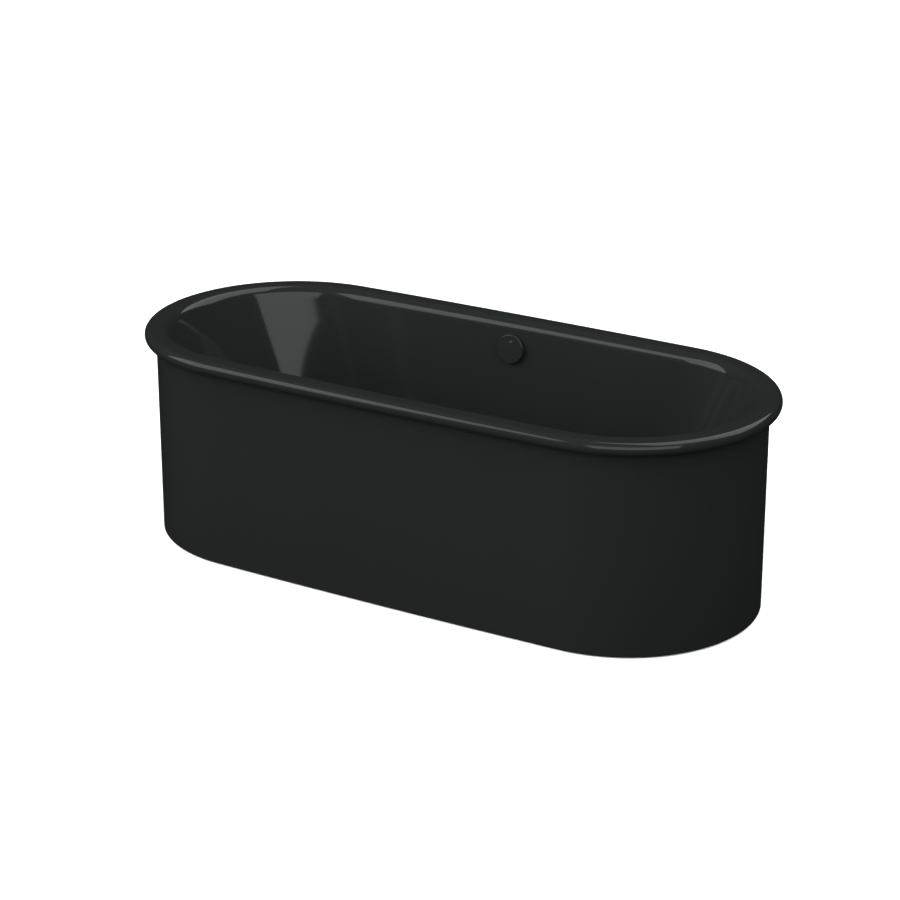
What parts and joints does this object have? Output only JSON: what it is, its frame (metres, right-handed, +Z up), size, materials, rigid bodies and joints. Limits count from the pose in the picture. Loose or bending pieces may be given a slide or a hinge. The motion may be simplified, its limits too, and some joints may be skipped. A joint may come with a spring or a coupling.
{
  "type": "freestanding bathtub",
  "caption": "Long oval freestanding bath in black enamelled steel, with a rounded rim, an upright skirt, and an overflow knob that lifts the waste plug.",
  "frame": {"origin": "on the floor, under the middle of the bath's outline", "axes": "+X along the bath, +Y to the side with the overflow, +Z up"},
  "size_m": [1.7, 0.75, 0.545],
  "materials": {
    "bath_enamel": "satin gloss enamel",
    "skirt_enamel": "satin gloss enamel",
    "black_trim": "satin enamel",
    "dark_metal": "satin",
    "mat_rubber": "matte",
    "seal_rubber": "matte",
    "drain_plastic": "matte",
    "hose_plastic": "matte",
    "clip_plastic": "matte",
    "cable_jacket": "gloss",
    "foot_plastic": "matte",
    "brass": "turned",
    "steel_pin": "bright",
    "zinc_steel": "zinc plated",
    "fastener_steel": "zinc plated"
  },
  "bodies": {
    "bath": {"bath_shell": "bath_enamel", "bracket_bolts": "fastener_steel", "cable_sheath": "cable_jacket", "cross_rail_left": "zinc_steel", "cross_rail_right": "zinc_steel", "damping_mat_end_left": "mat_rubber", "damping_mat_end_right": "mat_rubber", "damping_mat_floor_left": "mat_rubber", "damping_mat_floor_right": "mat_rubber", "earth_lug": "zinc_steel", "flange_fasteners": "fastener_steel", "hose_clip_bottom": "clip_plastic", "hose_clip_top": "clip_plastic", "lever_pin": "steel_pin", "lock_nuts": "fastener_steel", "overflow_clamp_ring": "dark_metal", "overflow_gasket": "seal_rubber", "overflow_hose": "hose_plastic", "overflow_housing": "drain_plastic", "rail_pad_left_back": "foot_plastic", "rail_pad_left_front": "foot_plastic", "rail_pad_right_back": "foot_plastic", "rail_pad_right_front": "foot_plastic", "rim_gasket": "seal_rubber", "skirt": "skirt_enamel", "skirt_bracket_left_back": "zinc_steel", "skirt_bracket_left_front": "zinc_steel", "skirt_bracket_right_back": "zinc_steel", "skirt_bracket_right_front": "zinc_steel", "trap_body": "drain_plastic", "trap_nut": "drain_plastic", "trap_seal": "seal_rubber", "waste_body": "drain_plastic", "waste_flange": "dark_metal", "waste_flange_seal": "seal_rubber", "waste_gasket": "seal_rubber", "weld_nuts": "fastener_steel"},
    "knob": {"overflow_knob": "black_trim", "knob_spindle": "brass", "drive_pinion": "drain_plastic"},
    "rack": {"cable_rack": "drain_plastic"},
    "pusher": {"cable_pusher": "steel_pin"},
    "lever": {"lift_lever": "drain_plastic"},
    "plug": {"plug_cover": "black_trim", "plug_stem": "brass", "plug_seal": "seal_rubber"},
    "foot_left_front": {"foot_pad_left_front": "foot_plastic", "foot_stud_left_front": "fastener_steel"},
    "foot_left_back": {"foot_pad_left_back": "foot_plastic", "foot_stud_left_back": "fastener_steel"},
    "foot_right_front": {"foot_pad_right_front": "foot_plastic", "foot_stud_right_front": "fastener_steel"},
    "foot_right_back": {"foot_pad_right_back": "foot_plastic", "foot_stud_right_back": "fastener_steel"}
  },
  "joints": [
    {"name": "knob_turn", "type": "hinge", "parent": "bath", "child": "knob", "pos_m": [0, 0.29744, 0.47309], "axis": [0, -0.9946, 0.1042], "range_deg": [0, 90]},
    {"name": "rack_slide", "type": "slide", "parent": "bath", "child": "rack", "axis": [0, -0.1042, -0.9946], "range_m": [0, 0.01277]},
    {"name": "pusher_slide", "type": "slide", "parent": "bath", "child": "pusher", "axis": [1, 0, 0], "range_m": [0, 0.01277]},
    {"name": "lever_swing", "type": "hinge", "parent": "bath", "child": "lever", "pos_m": [-0.01431, 0, 0.084], "axis": [0, -1, 0], "range_deg": [0, 50.03]},
    {"name": "plug_lift", "type": "slide", "parent": "bath", "child": "plug", "axis": [0, 0, 1], "range_m": [0, 0.01277]},
    {"name": "foot_left_front_reach", "type": "slide", "parent": "bath", "child": "foot_left_front", "axis": [0, 0, -1], "range_m": [-0.002, 0.012]},
    {"name": "foot_left_back_reach", "type": "slide", "parent": "bath", "child": "foot_left_back", "axis": [0, 0, -1], "range_m": [-0.002, 0.012]},
    {"name": "foot_right_front_reach", "type": "slide", "parent": "bath", "child": "foot_right_front", "axis": [0, 0, -1], "range_m": [-0.002, 0.012]},
    {"name": "foot_right_back_reach", "type": "slide", "parent": "bath", "child": "foot_right_back", "axis": [0, 0, -1], "range_m": [-0.002, 0.012]}
  ],
  "couplings": [
    {"joint": "rack_slide", "follows": "knob_turn", "m_per_rad": 0.008},
    {"joint": "pusher_slide", "follows": "knob_turn", "m_per_rad": 0.008},
    {"joint": "lever_swing", "follows": "knob_turn", "ratio": 0.55031},
    {"joint": "plug_lift", "follows": "knob_turn", "m_per_rad": 0.008}
  ]
}
